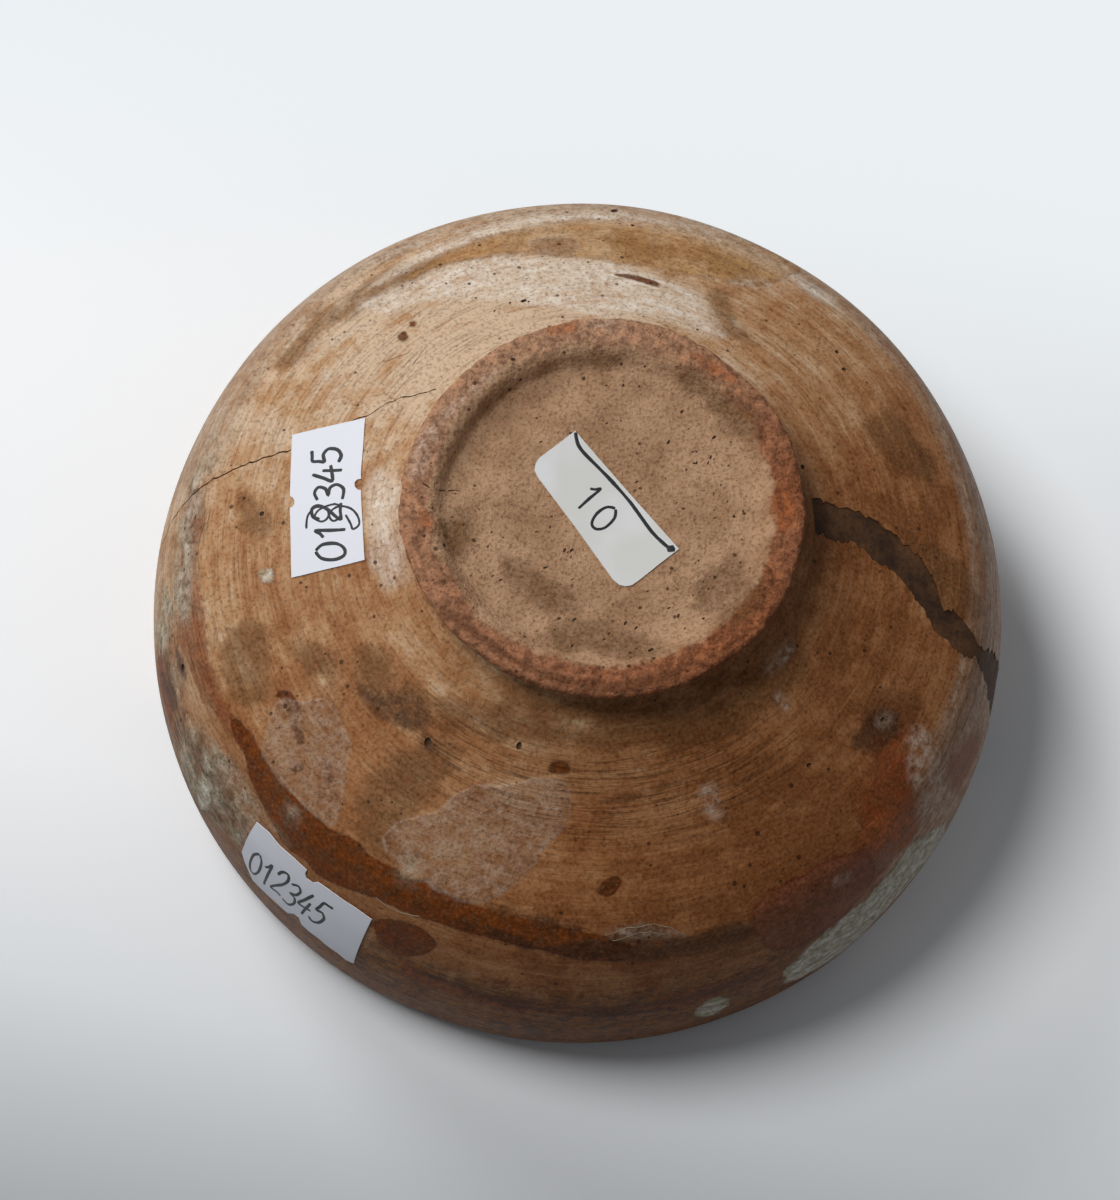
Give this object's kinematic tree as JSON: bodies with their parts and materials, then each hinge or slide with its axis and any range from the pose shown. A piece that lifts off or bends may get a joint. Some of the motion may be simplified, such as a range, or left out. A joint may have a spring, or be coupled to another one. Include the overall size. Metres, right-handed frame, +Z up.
{
  "type": "pottery bowl",
  "caption": "Turned glazed earthenware bowl on a dished foot, broken once, refitted and filled, with paper labels; stored upside down on its rim.",
  "frame": {"origin": "centre of the plane that the rim rests on, with the bowl upside down as pictured", "axes": "+Z up through the foot, which is on top; the bowl opens towards -Z; -Y is the side nearest the picture's viewer"},
  "size_m": [0.1498, 0.1498, 0.072],
  "materials": {
    "glazed_pottery": "worn honey-brown glaze over pinkish-buff earthenware, bare and matte on the foot",
    "glazed_sherd": "worn honey-brown glaze over pinkish-buff earthenware",
    "fill": "rough, matte, toned dark brown",
    "label_paper": "matte white sticker",
    "coated_label_paper": "smooth, slightly glossy white sticker"
  },
  "bodies": {
    "root": {"bowl_body": "glazed_pottery", "wall_sherd": "glazed_sherd", "break_fill": "fill", "wall_label": "label_paper", "rim_label": "label_paper", "foot_label": "coated_label_paper"}
  },
  "joints": []
}
